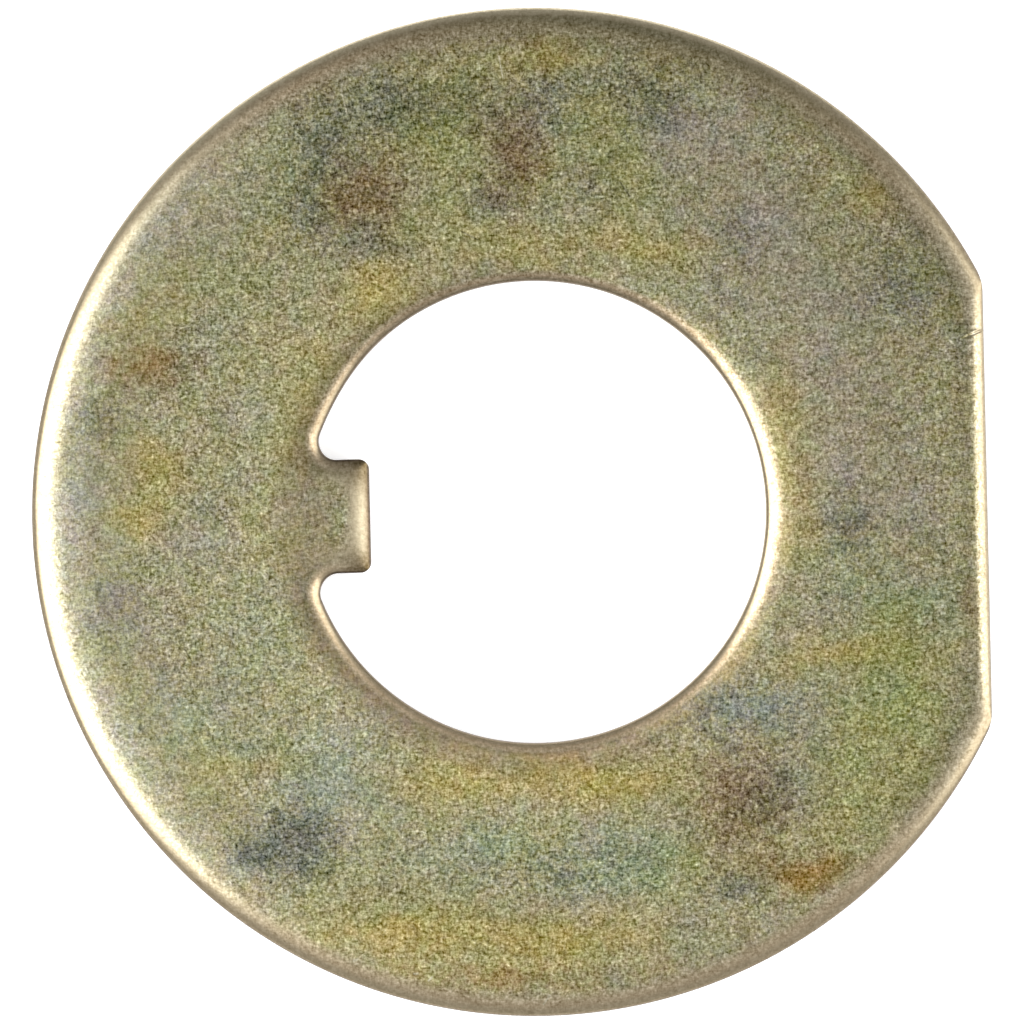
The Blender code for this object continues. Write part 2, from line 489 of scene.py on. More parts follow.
# The pale room's brightness: everywhere, more at the sides, and more at the front, by height
ROOM_LEVEL = 0.44
ROOM_SIDES = 0.3
ROOM_FRONT = -0.27
ROOM_FRONT_BY_HEIGHT = -0.4
WHITE = (1, 1, 1, 1)

# The camera, in metres, and its lens and sensor in millimetres
CAMERA_PLACE = (0.00003, 0.000139, 0.5015)
CAMERA_TURN = math.radians(-1.335)
CAMERA_LENS = 317.9
CAMERA_SENSOR = 36
CAMERA_CLIP = 0.05


def steps(start, end, count):
    """Evenly spaced values from start up to, but without, the end."""
    return start + (end - start) * np.arange(count) / count


def risen(values, start, width):
    """A straight rise from 0 at the start to 1 a width further on, and held at both ends."""
    return np.clip((values - start) / width, 0, 1)


def on_arc(centre_x, centre_y, radius, angles):
    """Points on a circle at these angles."""
    return np.stack([centre_x + radius * np.cos(angles), centre_y + radius * np.sin(angles)], 1)


def on_line(start, end, shares):
    """Points on a straight line at these shares of its length."""
    start, end = np.array(start), np.array(end)
    return start + (end - start) * shares[:, None]


def mirrored(half):
    """A whole loop from its upper half: the lower half is the upper one with y turned round."""
    return np.concatenate([half, half[-2:0:-1] * (1, -1)])


def rim_half(inset):
    """Upper half of the rim: a straight flat, a corner arc that touches both, then the round rim.
    The round rim's columns crowd together behind the tongue, so that the face's lines fan out
    from the tongue's root without crossing."""
    radius = RIM_RADIUS - inset
    flat = FLAT_FROM_AXIS - inset
    corner_x = flat - FLAT_CORNER
    corner_y = math.sqrt((radius - FLAT_CORNER) ** 2 - corner_x**2)
    meets = math.atan2(corner_y, corner_x)
    fan = [math.pi - math.asin(y / radius) for y in FAN_LINES]
    angles = np.concatenate([
        steps(meets, fan[0], ROUND_COLUMNS),
        steps(fan[0], fan[1], ROOT_COLUMNS),
        steps(fan[1], fan[2], FLANK_COLUMNS),
        steps(fan[2], fan[3], TIP_CORNER_COLUMNS),
        steps(fan[3], math.pi, TIP_COLUMNS),
        [math.pi],
    ])
    return np.concatenate([
        on_line((flat, 0), (flat, corner_y), np.interp(steps(0, 1, FLAT_COLUMNS), *FLAT_CROWDING)),
        on_arc(corner_x, corner_y, FLAT_CORNER, steps(0, meets, CORNER_COLUMNS)),
        on_arc(0, 0, radius, angles),
    ])


def root_fillet(inset):
    """Middle and radius of the fillet that touches the bore and the tongue's upper flank, and the
    angle at which it touches the bore."""
    root = TONGUE_ROOT + inset
    root_y = TONGUE_HALF - inset + root
    root_x = -math.sqrt((BORE_RADIUS + inset - root) ** 2 - root_y**2)
    return root_x, root_y, root, math.atan2(root_y, root_x)


def bore_half(inset):
    """Upper half of the bore: the round bore, the root fillet, the tongue's flank, the tip's
    corner arc, and the straight tip. The round bore's columns stand at the same share of their
    turn as the rim's columns do."""
    half = TONGUE_HALF - inset
    tip = TIP_FROM_AXIS + inset
    root_x, root_y, root, meets = root_fillet(inset)
    corner_x = -(tip + TONGUE_CORNER)
    corner_y = half - TONGUE_CORNER
    rim = rim_half(0)
    turns = np.arctan2(rim[:, 1], rim[:, 0])
    first = FLAT_COLUMNS + CORNER_COLUMNS + ROUND_COLUMNS
    return np.concatenate([
        on_arc(0, 0, BORE_RADIUS + inset, meets * turns[:first] / turns[first]),
        on_arc(root_x, root_y, root, steps(meets, 1.5 * math.pi, ROOT_COLUMNS)),
        on_line((root_x, half), (corner_x, half), steps(0, 1, FLANK_COLUMNS)),
        on_arc(corner_x, corner_y, TONGUE_CORNER, steps(math.pi / 2, 0, TIP_CORNER_COLUMNS)),
        on_line((-tip, corner_y), (-tip, 0), steps(0, 1, TIP_COLUMNS)),
        [(-tip, 0)],
    ])


def wall_rows(roll_depth):
    """The wall's section from the burr side up to the roll, as columns of height, inset and how
    far down the wall each row is. The lower edge is a quarter circle, the fracture leans
    straight, and the burnished band is upright."""
    burnish_low = THICKNESS - roll_depth - BURNISHED
    rows = [
        (EDGE_BREAK * (1 - math.cos(t)), BREAKOUT + EDGE_BREAK * (1 - math.sin(t)), 1)
        for t in steps(0, math.pi / 2, EDGE_ROWS)
    ]
    rows += [
        (EDGE_BREAK + (burnish_low - EDGE_BREAK) * s, BREAKOUT * (1 - s), 1)
        for s in steps(0, 1, FRACTURE_ROWS)
    ]
    rows += [(burnish_low + BURNISHED * s, 0, 1 - s) for s in steps(0, 1, BURNISHED_ROWS)]
    return np.array(rows)


def face_shares():
    """Where the face's rows lie, as shares of the way from the bore to the rim. They crowd
    towards both edges as 1 - cos does."""
    crowd = 1 - np.cos(steps(0, math.pi / 2, ROLL_ROWS))
    plain = np.linspace(BORE_STRETCH, 1 - RIM_STRETCH, PLAIN_ROWS)
    return np.concatenate([BORE_STRETCH * crowd, plain, 1 - RIM_STRETCH * crowd[::-1]])


def section():
    """The whole section, round from the bore's lower edge over the face to the rim's lower edge
    and back underneath: the loops of points, their heights without the rolls, how far down the
    wall they are, and which rows are the face's. The face's lines run straight from the bore's
    outline to the rim's."""
    bore_rows, rim_rows = wall_rows(BORE_ROLL_DEPTH), wall_rows(RIM_ROLL_DEPTH)
    bore = [mirrored(bore_half(inset)) for inset in bore_rows[:, 1]]
    rim = [mirrored(rim_half(inset)) for inset in rim_rows[:, 1]]
    inner, outer = mirrored(bore_half(0)), mirrored(rim_half(0))
    face = [inner + (outer - inner) * share for share in face_shares()]
    back = np.arange(1, UNDER_ROWS + 1) / (UNDER_ROWS + 1)
    under = [rim[0] + (bore[0] - rim[0]) * share for share in back]
    heights = np.concatenate(
        [bore_rows[:, 0], np.full(len(face), THICKNESS), rim_rows[::-1, 0], np.zeros(UNDER_ROWS)]
    )
    wall = np.concatenate(
        [bore_rows[:, 2], np.zeros(len(face)), rim_rows[::-1, 2], np.zeros(UNDER_ROWS)]
    )
    return np.array(bore + face + rim[::-1] + under), heights, wall, heights == THICKNESS


def both(first, second, power):
    """The nearer of two edges with the turn between them rounded off: the power mean of both
    distances, (a^-p + b^-p)^(-1/p)."""
    first, second = np.maximum(first, NEAREST), np.maximum(second, NEAREST)
    return (first**-power + second**-power) ** (-1 / power)


def from_rim(x, y):
    """How far each place of the face is from the rim, as a share of the rim's roll there."""
    round_share = (RIM_RADIUS - np.hypot(x, y)) / RIM_ROLL
    return both(round_share, (FLAT_FROM_AXIS - x) / FLAT_ROLL, FLAT_MEETING)


def from_bore(x, y):
    """How far each place of the face is from the bore, as a share of the bore's roll there. The
    nearest edge is the fillet, the flank or the round bore, by the side of the fillet's middle
    that the place is on, and the tongue's tip is joined to it softly, which makes a low dome.
    The roll is wider by the square of the cosine of the turn."""
    root_x, root_y, root, meets = root_fillet(0)
    from_root = np.hypot(x - root_x, np.abs(y) - root_y) - root
    turn = np.arctan2(np.abs(y) - root_y, x - root_x) % (2 * math.pi)
    by_root = (turn >= meets) & (turn <= 1.5 * math.pi)
    by_flank = (turn > 1.5 * math.pi) & (x < 0)
    away = np.where(by_flank, TONGUE_HALF - np.abs(y), np.hypot(x, y) - BORE_RADIUS)
    away = np.where(by_root, from_root, away)
    uneven = np.where(x > 0, BORE_ROLL_UNEVEN_RIGHT, BORE_ROLL_UNEVEN)
    width = BORE_ROLL * (1 + uneven * x**2 / (x**2 + y**2))
    width = width + (FLANK_ROLL - width) * near_tongue(x, y)
    by_tip = (x < 0) & (np.abs(y) < 2 * TONGUE_HALF)
    tip = np.where(by_tip, (-x - TIP_FROM_AXIS) / TIP_ROLL, PAST_EVERY_ROLL)
    return both(away / width, tip, TIP_MEETING)


def near_tongue(x, y):
    """1 on the tongue and 0 away from it, as a bell curve of the fourth power."""
    away = np.hypot((x - TONGUE_MIDDLE_X) / TONGUE_REACH_X, y / TONGUE_REACH_Y)
    return np.exp(-(away**4))


def soft_noise(x, y, pitch, seed):
    """Smooth noise from 0 to 1: random values at the corners of a square lattice, joined by the
    smooth step 3s2 - 2s3 along both axes."""
    corners = np.random.default_rng(seed).random((LATTICE, LATTICE))
    column, row = np.floor(x / pitch).astype(int), np.floor(y / pitch).astype(int)
    across, along = x / pitch - column, y / pitch - row
    across, along = across**2 * (3 - 2 * across), along**2 * (3 - 2 * along)
    column, row = column % LATTICE, row % LATTICE
    right, above = (column + 1) % LATTICE, (row + 1) % LATTICE
    low = corners[column, row] * (1 - across) + corners[right, row] * across
    high = corners[column, above] * (1 - across) + corners[right, above] * across
    return low * (1 - along) + high * along


def rough_noise(x, y, pitch, seed, octaves=3):
    """Soft noise with finer and weaker noise on top, each octave half as wide as the last."""
    total, weight = 0, 0
    for octave in range(octaves):
        share = OCTAVE_FALL**octave
        total = total + share * soft_noise(x, y, pitch / 2**octave, seed + octave)
        weight += share
    return total / weight


def stain_field(x, y, stains):
    """How strongly a kind of stain covers each place, from 0 to 1. Each stain is a bell curve
    over its ellipse, and noise bends the places first, so that the stains' rims are ragged."""
    bend_x, bend_y = (
        STAIN_BEND * (rough_noise(x, y, STAIN_PITCH, seed, STAIN_OCTAVES) - 0.5)
        for seed in STAIN_SEEDS
    )
    total = np.zeros_like(x)
    for centre_x, centre_y, half_x, half_y, strength in stains:
        off_x, off_y = x + bend_x - centre_x, y + bend_y - centre_y
        total += strength * np.exp(-0.5 * ((off_x / half_x) ** 2 + (off_y / half_y) ** 2))
    return np.minimum(total, 1)


def pale_light_field(x, y):
    """Painted light that makes the film paler, from 0 to 1: it rises along a slope towards the
    front and left, and along a bell-curved ring round the bore, and noise makes it patchy."""
    ring = np.exp(-(((np.hypot(x, y) - PALE_RING_RADIUS) / PALE_RING_WIDTH) ** 2))
    slope = PALE_LEVEL + PALE_BY_X * x + PALE_BY_Y * y
    patches = rough_noise(x, y, PALE_PITCH, PALE_SEED, PALE_OCTAVES)
    return np.clip((slope + PALE_RING * ring) * (PALE_LEAST + PALE_PATCHES * patches), 0, 1)


def lip_light_field(x, y):
    """Painted light and shade on the bore's roll: the film is made paler at the front and darker
    at the back, by the sine of the turn, in a band that is wider at the front."""
    up = np.sin(np.arctan2(y, x))
    away = (np.hypot(x, y) - BORE_RADIUS) / (LIP_WIDTH * (1 - LIP_NARROWING * up))
    return 1 - LIP_LIGHT_CONTRAST * up * np.exp(-(away**4))


def facing(turn):
    """From 1 on the side that a turn is measured from to 0.1 on the other, by its cosine."""
    return 0.55 + 0.45 * np.cos(turn)


def collar_field(x, y):
    """The browner band round the bore, as a bell curve out from its edge, strongest at the front
    and left, by the cosine of the turn."""
    away = np.exp(-(((np.hypot(x, y) - BORE_RADIUS) / COLLAR_WIDTH) ** 4))
    return away * facing(np.arctan2(y, x) - COLLAR_TURN)


def tip_corner_shade(x, y):
    """Painted shade on the tongue's two corners, as bell curves of the second power along x and
    the fourth along y."""
    along_x = ((x - TONGUE_MIDDLE_X) / TIP_CORNER_X) ** 2
    spots = [np.exp(-along_x - ((y - middle) / half) ** 4) for middle, half in TIP_CORNER_SHADES]
    return np.minimum(sum(spots), 1)


def side_fields(x, y):
    """The fields that tell the sides of the edges apart, by name; several of them also place
    painted light and shade on the rolls. They rise straight or along bell curves, and those of the
    rim and of the bore are 0 on the other's side of the face."""
    turn = np.degrees(np.arctan2(y, x))
    at_rim = np.hypot(x, y) > RIM_SIDE
    forwards = np.minimum(np.sin(np.radians(turn)), 0)
    tan = 1 - (1 - TAN_LEFT_AT_FLAT) * risen(x, *TAN_UNTIL)
    return {
        "at rim": at_rim,
        "tan": risen(x, *TAN_FROM) * tan,
        "left": risen(-x, *LEFT_FROM) * (1 + LEFT_FALL * forwards) * at_rim,
        "front": risen(-y, *FRONT_FROM) * at_rim,
        "dusk": np.exp(-(((turn - DUSK_TURN[0]) / DUSK_TURN[1]) ** 2)) * at_rim,
        "crest": np.exp(-(((turn - CREST_TURN[0]) / CREST_TURN[1]) ** 4)) * at_rim,
        "lit": np.clip(np.cos(np.radians(turn)), 0, 1) * ~at_rim,
        "bore shoulder": facing(np.radians(turn - SHOULDER_TURN)) * ~at_rim,
    }


def in_segment(x, y, start, end):
    """Each place in the frame of a straight segment: off its line, with the left side of the way
    from start to end positive, along it from its middle, and the segment's half length."""
    way = np.subtract(end, start)
    length = math.hypot(*way)
    way_x, way_y = way / length
    off_x, off_y = x - (start[0] + end[0]) / 2, y - (start[1] + end[1]) / 2
    return way_x * off_y - way_y * off_x, way_x * off_x + way_y * off_y, length / 2


def from_segment(off, ahead, half):
    """How far a place of a segment's frame is from the segment: hypot(off, what is past it)."""
    return np.hypot(off, np.maximum(np.abs(ahead) - half, 0))


def nick_relief(x, y):
    """Height of the nick: a groove shaped as a bell curve across the segment, with a raised lip
    on its upper side. Both grow towards the flat."""
    off, ahead, half = in_segment(x, y, *NICK)
    away = np.sign(off) * from_segment(off, ahead, half) / NICK_HALF_WIDTH
    (start_x, _), (end_x, _) = NICK
    deepening = np.clip((x - start_x) / (end_x - start_x), NICK_LEAST, 1)
    lip = NICK_LIP_HEIGHT * np.exp(-((away - NICK_LIP_PLACE) ** 2))
    return NICK_DEPTH * deepening * (lip - np.exp(-(away**2)))


def gap_between(mark, other):
    """The least distance between two marks, from points along both."""
    gaps = []
    for of, to in ((mark, other), (other, mark)):
        x, y = on_line(of[0], of[1], np.linspace(0, 1, MARK_POINTS)).T
        gaps.append(from_segment(*in_segment(x, y, to[0], to[1])).min())
    return min(gaps)


def mark_layers(marks):
    """The marks sorted into layers: each goes into the first layer whose marks are all further
    from it than MARKS_APART."""
    layers = []
    for mark in marks:
        free = (a for a in layers if all(gap_between(mark, b) > MARKS_APART for b in a))
        layer = next(free, None)
        if layer is None:
            layers.append([mark])
        else:
            layer.append(mark)
    return layers


def mark_fields(x, y, layer):
    """Each place in the frame of the layer's nearest mark, in half widths of it, and 1 near the
    mark or 0 elsewhere. The frame changes straight across each face of the mesh, so the
    material can draw marks finer than the mesh. What lies between two marks is not near."""
    nearest = np.full(x.shape, np.inf)
    frame = np.zeros((3, *x.shape))
    for start, end, half_width in layer:
        off, ahead, half = in_segment(x, y, start, end)
        away = from_segment(off, ahead, half)
        own = np.stack([off, ahead, np.full(x.shape, half)]) / half_width
        frame = np.where(away < nearest, own, frame)
        nearest = np.minimum(nearest, away)
    return dict(zip(MARK_PARTS, (*frame, nearest < MARK_REACH)))


def outward(points):
    """Level directions that point away from the metal at each point of the section's loops."""
    along = np.roll(points, -1, axis=1) - np.roll(points, 1, axis=1)
    along /= np.linalg.norm(along, axis=2, keepdims=True)
    return np.stack([along[..., 1], -along[..., 0]], axis=2)


def out_of_round(x, y):
    """The stamping's small faults, as it was measured in the photo: the rim is slightly oval, and
    the bore stands in a little, most of all by the tongue's upper root. Each fades out before it
    reaches the other edge: the rim's as the square of the way from the bore, the bore's straight,
    and it spares the tongue."""
    turn, radius = np.arctan2(y, x), np.hypot(x, y)
    rim = -OVALNESS * (1 - np.cos(2 * (turn - OVAL_TURN)))
    bulge = np.exp(-(((turn - ROOT_BULGE_TURN) / ROOT_BULGE_HALF) ** 2))
    bore = -BORE_SHORT - ROOT_BULGE * bulge
    share = risen(radius, BORE_RADIUS, RIM_RADIUS - BORE_RADIUS)
    inner = np.clip(1 - share * BORE_FAULT_FADE, 0, 1)
    inner = inner * risen(radius, TONGUE_SPARED_RADIUS, TONGUE_SPARED_FADE)
    moved = 1 + (rim * share**2 + bore * inner) / radius
    return x * moved, y * moved


def washer_surface():
    """The washer as a closed grid: one parameter runs round the outline, the other round the
    section. Each roll lowers the face by depth (1 - sqrt(1 - (1 - u)^p)), where u is the share of
    the roll's width from the edge, and its depth wanders a little round the edge. The tongue
    droops towards its tip as a power of the way. The walls' fracture is roughened into the
    metal. Returns the grid, and each point's place before the faults of the outline, its share
    of a roll and its distance from the nearest edge."""
    points, heights, wall, on_face = section()
    rows, columns = points.shape[:2]
    face = on_face[:, None]
    x, y = points[..., 0], points[..., 1]
    around = np.arctan2(y, x) * RIM_RADIUS
    wander = 1 + WANDER * (rough_noise(around, 0 * around, WANDER_PITCH, WANDER_SEED) - 0.5)
    z = np.repeat(heights[:, None], columns, axis=1)
    roll = np.where(on_face, 0.0, wall > 0)[:, None] + np.zeros_like(z)
    for share, depth, power in (
        (from_rim(x, y), RIM_ROLL_DEPTH, RIM_ROLL_POWER),
        (from_bore(x, y), BORE_ROLL_DEPTH, BORE_ROLL_POWER),
    ):
        left = np.clip(1 - share, 0, 1) * face
        z -= wander * depth * (1 - np.sqrt(1 - left**power))
        roll = np.maximum(roll, left)
    droop = risen(x, -TIP_FROM_AXIS - DROOP_LENGTH, DROOP_LENGTH) ** DROOP_POWER
    z -= TIP_DROOP * droop * near_tongue(x, y) * face
    z = np.minimum(z + nick_relief(x, y) * risen(roll, 0, NICK_START) * face, THICKNESS)
    torn = (wall == 1)[:, None] * rough_noise(around, z, TORN_PITCH, TORN_SEED)
    flip = np.where(np.arange(rows) < rows // 2, -1, 1)[:, None]
    offset = outward(points) * (-TORN_DEPTH * torn * flip)[..., None]
    moved_x, moved_y = out_of_round(x + offset[..., 0], y + offset[..., 1])
    edge = np.minimum(from_rim(x, y) * RIM_ROLL, from_bore(x, y) * BORE_ROLL) * face
    grid = np.dstack([moved_x + BORE_AXIS_X, moved_y, z])
    return grid, x, y, roll, np.clip(edge, 0, 1)


def closed_mesh(name, grid):
    """A mesh over a grid of points whose first row follows its last, and so do its columns."""
    rows, columns = grid.shape[:2]
    index = np.arange(rows * columns).reshape(rows, columns)
    above = np.roll(index, -1, axis=0)
    quads = np.stack([index, np.roll(index, -1, axis=1), np.roll(above, -1, axis=1), above], 2)
    mesh = bpy.data.meshes.new(name)
    mesh.vertices.add(rows * columns)
    mesh.vertices.foreach_set("co", (grid * MM).astype(np.float32).ravel())
    mesh.loops.add(quads.size)
    mesh.loops.foreach_set("vertex_index", quads.astype(np.int32).ravel())
    mesh.polygons.add(rows * columns)
    mesh.polygons.foreach_set("loop_start", np.arange(0, quads.size, 4, dtype=np.int32))
    mesh.polygons.foreach_set("use_smooth", np.ones(rows * columns, dtype=bool))
    mesh.update(calc_edges=True)
    return mesh


def make_washer():
    """The washer's visual piece, with the fields that its material reads. The marks' fields are
    taken on the upper side of the finished surface, the others before the outline's faults."""
    grid, x, y, roll, edge = washer_surface()
    mesh = closed_mesh("washer_metal", grid)
    fields = {
        "roll": roll,
        "edge": edge,
        # painted light: how much paler the film is made towards the front and left and round the
        # bore
        "pale": pale_light_field(x, y),
        "tongue": near_tongue(x, y),
        # painted shade on the tongue's corners
        "tip corners": tip_corner_shade(x, y),
        # painted light and shade on the bore's roll, by the turn
        "lip": lip_light_field(x, y),
        "collar": collar_field(x, y),
        **side_fields(x, y),
        **{name: stain_field(x, y, stains) for name, stains, _ in STAINS},
    }
    upper = grid[..., 2] > THICKNESS / 2
    for kind, marks, _, _ in MARKS:
        for number, layer in enumerate(mark_layers(marks)):
            parts = mark_fields(grid[..., 0] - BORE_AXIS_X, grid[..., 1], layer)
            parts["near"] = parts["near"] & upper
            fields |= {f"{kind} {number} {part}": values for part, values in parts.items()}
    for name, values in fields.items():
        stored = mesh.attributes.new(name, "FLOAT", "POINT")
        stored.data.foreach_set("value", values.astype(np.float32).ravel())
    made = bpy.data.objects.new("washer_metal", mesh)
    bpy.context.scene.collection.objects.link(made)
    return made


def feed(tree, socket, value):
    """Sets an input socket to a plain value, or links it from another node."""
    if isinstance(value, bpy.types.NodeSocket):
        tree.links.new(value, socket)
    else:
        socket.default_value = value


def node(tree, kind, inputs=None, **settings):
    """A new shader node with its settings and inputs."""
    made = tree.nodes.new("ShaderNode" + kind)
    for name, value in settings.items():
        setattr(made, name, value)
    for name, value in (inputs or {}).items():
        feed(tree, made.inputs[name], value)
    return made


def calc(tree, operation, *values):
    """One step of arithmetic."""
    return node(tree, "Math", dict(enumerate(values)), operation=operation).outputs[0]


def times(tree, first, second):
    """A product."""
    return calc(tree, "MULTIPLY", first, second)


def plus(tree, first, share, second):
    """A share of one value, added to a second: first x share + second."""
    return calc(tree, "MULTIPLY_ADD", first, share, second)


def vector(tree, operation, first, second):
    """One step of vector arithmetic. To scale, the second value is a number."""
    place = 3 if operation == "SCALE" else 1
    return node(tree, "VectorMath", {0: first, place: second}, operation=operation).outputs[0]


def blend(tree, share, first, second, kind="MIX"):
    """Two colours blended by a share from 0 to 1."""
    inputs = {0: share, 6: first, 7: second}
    return node(tree, "Mix", inputs, data_type="RGBA", blend_type=kind).outputs[2]


def remap(tree, value, *limits):
    """A value moved from one range to another, or else to 0 to 1, and held inside it."""
    names = ("Value", "From Min", "From Max", "To Min", "To Max")
    return node(tree, "MapRange", dict(zip(names, (value, *limits)))).outputs[0]


def noise(tree, place, *settings):
    """Noise from 0 to 1, with these waves a millimetre, detail, roughness and distortion."""
    names = ("Vector", "Scale", "Detail", "Roughness", "Distortion")
    return node(tree, "TexNoise", dict(zip(names, (place, *settings)))).outputs[0]


def centred(tree, *settings):
    """Noise about 0, from -0.5 to 0.5."""
    return calc(tree, "SUBTRACT", noise(tree, *settings), 0.5)


def field(tree, name):
    """A number that the piece stores at each of its points."""
    return node(tree, "Attribute", attribute_name=name).outputs["Fac"]


def srgb(colour):
    """A colour as a screen shows it, 0 to 255, turned into light."""
    values = [v / 255 for v in colour]
    return (*[v / 12.92 if v <= 0.04045 else ((v + 0.055) / 1.055) ** 2.4 for v in values], 1.0)


def new_group(name, inputs, output):
    """A node group with these input sockets, by name and kind, and one output socket. Returns
    the group, its inputs inside and the socket that its result goes to."""
    tree = bpy.data.node_groups.new(name, "ShaderNodeTree")
    for label, kind in inputs.items():
        tree.interface.new_socket(label, in_out="INPUT", socket_type="NodeSocket" + kind)
    label, kind = output
    tree.interface.new_socket(label, in_out="OUTPUT", socket_type="NodeSocket" + kind)
    given = tree.nodes.new("NodeGroupInput").outputs
    return tree, given, tree.nodes.new("NodeGroupOutput").inputs[label]


def grouped(tree, group, inputs):
    """What a group gives for these inputs."""
    return node(tree, "Group", inputs, node_tree=group).outputs[0]


def new_material(name):
    """A material, with its node tree and its shader's inputs."""
    material = bpy.data.materials.new(name)
    material.use_nodes = True
    tree = material.node_tree
    return material, tree, tree.nodes["Principled BSDF"].inputs


def grain_group():
    """Group that lightens and darkens a colour by a grain, by the same amount in every channel
    as the eye and the camera see it, whatever the colour: out of light, a step, back to light."""
    inputs = {"Colour": "Color", "Grain": "Float", "Amount": "Float"}
    tree, given, result = new_group("grain_tone", inputs, ("Colour", "Color"))
    step = times(tree, given["Grain"], given["Amount"])
    inputs = {"Color": given["Colour"], "Gamma": 1 / CAMERA_GAMMA}
    moved = vector(tree, "ADD", node(tree, "Gamma", inputs).outputs[0], step)
    held = vector(tree, "MAXIMUM", moved, DARKEST)
    feed(tree, result, node(tree, "Gamma", {"Color": held, "Gamma": CAMERA_GAMMA}).outputs[0])
    return tree


def strokes_group():
    """Group that scatters short straight strokes, one to a cell: each place is taken about its
    cell's middle and turned by the cell's own angle, and the mask is 1 - (x/length)^2 -
    (y/width)^2, as strong as the cell's own chance."""
    numbers = ("Cells", "Length", "Width", "Least Turn", "Turn")
    inputs = {"Place": "Vector", **dict.fromkeys(numbers, "Float")}
    tree, given, result = new_group("strokes", inputs, ("Mask", "Float"))
    cells = {"Vector": given["Place"], "Scale": given["Cells"]}
    cell = node(tree, "TexVoronoi", cells, voronoi_dimensions="2D").outputs
    away = vector(tree, "SUBTRACT", given["Place"], cell["Position"])
    chance = node(tree, "SeparateColor", {"Color": cell["Color"]}).outputs
    turn = plus(tree, chance[0], given["Turn"], given["Least Turn"])
    turned = node(tree, "VectorRotate", {"Vector": away, "Angle": turn}, rotation_type="Z_AXIS")
    across = node(tree, "SeparateXYZ", {0: turned.outputs[0]}).outputs
    long = calc(tree, "DIVIDE", across[0], given["Length"])
    wide = calc(tree, "DIVIDE", across[1], given["Width"])
    away = plus(tree, long, long, times(tree, wide, wide))
    mask = calc(tree, "MAXIMUM", calc(tree, "SUBTRACT", 1.0, away), 0.0)
    feed(tree, result, times(tree, mask, chance[1]))
    return tree


def mark_cover(tree, layer):
    """How strongly the marks of a layer cover a place: its distance from the nearest one, in half
    widths, is hypot(off, what is past it), and the cover fades over MARK_FADE."""
    off, ahead, half, near = (field(tree, f"{layer} {part}") for part in MARK_PARTS)
    past = calc(tree, "SUBTRACT", calc(tree, "ABSOLUTE", ahead), half)
    past = calc(tree, "MAXIMUM", past, 0.0)
    away = calc(tree, "SQRT", plus(tree, off, off, times(tree, past, past)))
    return times(tree, remap(tree, away, *MARK_FADE, 1.0, 0.0), near)


def marked_film(tree, film):
    """The film's colour with its marks, where the strongest layer of each kind counts."""
    for kind, marks, colour, strength in MARKS:
        cover = 0.0
        for number in range(len(mark_layers(marks))):
            cover = calc(tree, "MAXIMUM", cover, mark_cover(tree, f"{kind} {number}"))
        film = blend(tree, times(tree, cover, strength), film, srgb(colour))
    return film


def crystal_grain(tree, place):
    """The plating's grain, about 0: crystals, fine fibres along both axes, clouds, and short dark
    and light strokes."""
    few, many = FIBRE_WAVES
    level, upright = (
        centred(tree, vector(tree, "MULTIPLY", place, waves), *FIBRE_NOISE)
        for waves in ((few, many, many), (many, few, few))
    )
    crystals = centred(tree, place, *CRYSTAL_NOISE)
    clouds = centred(tree, place, *CLOUD_NOISE)
    strokes = strokes_group()
    dark = grouped(tree, strokes, {"Place": place, **DARK_STROKE})
    light = grouped(tree, strokes, {"Place": place, **LIGHT_STROKE})
    grain = plus(tree, crystals, CRYSTALS, times(tree, level, FIBRES))
    grain = plus(tree, clouds, CLOUDS, grain)
    grain = plus(tree, upright, FIBRES, grain)
    grain = plus(tree, dark, DARK_STROKES, grain)
    return plus(tree, light, LIGHT_STROKES, grain), crystals


def stained_film(tree, place):
    """The film's colour on the face: two tones that drift, a paler one that is painted light,
    patches of warmer and rosier tint, fine yellow and blue speckles, and six kinds of ragged
    stain, each of which multiplies the colour."""
    drift = remap(tree, noise(tree, place, *DRIFT_NOISE), *DRIFT_SPREAD)
    warm = remap(tree, noise(tree, place, *WARM_NOISE), *TINT_SPREAD)
    rosy = remap(tree, noise(tree, place, *ROSY_NOISE), *TINT_SPREAD)
    speckle = remap(tree, noise(tree, place, *SPECKLE_NOISE), *DRIFT_SPREAD)
    ragged = centred(tree, place, *RAGGED_NOISE)
    film = blend(tree, drift, srgb(FILM_YELLOW), srgb(FILM_GREY))
    # painted light: the film made paler towards the front and left and round the bore
    film = blend(tree, field(tree, "pale"), film, srgb(LIT_FILM))
    film = blend(tree, 1.0, film, blend(tree, warm, *WARM_TINTS), "MULTIPLY")
    film = blend(tree, 1.0, film, blend(tree, rosy, *ROSY_TINTS), "MULTIPLY")
    speckled = plus(tree, field(tree, "grey"), GREY_EVENS, 1.0)
    film = blend(tree, speckled, film, blend(tree, speckle, *SPECKLE_TINTS), "MULTIPLY")
    for name, _, tint in STAINS:
        cover = plus(tree, ragged, STAIN_RAGGED, field(tree, name))
        film = blend(tree, remap(tree, cover, *STAIN_FADE), film, tint, "MULTIPLY")
    return blend(tree, field(tree, "collar"), film, COLLAR_TINT, "MULTIPLY")


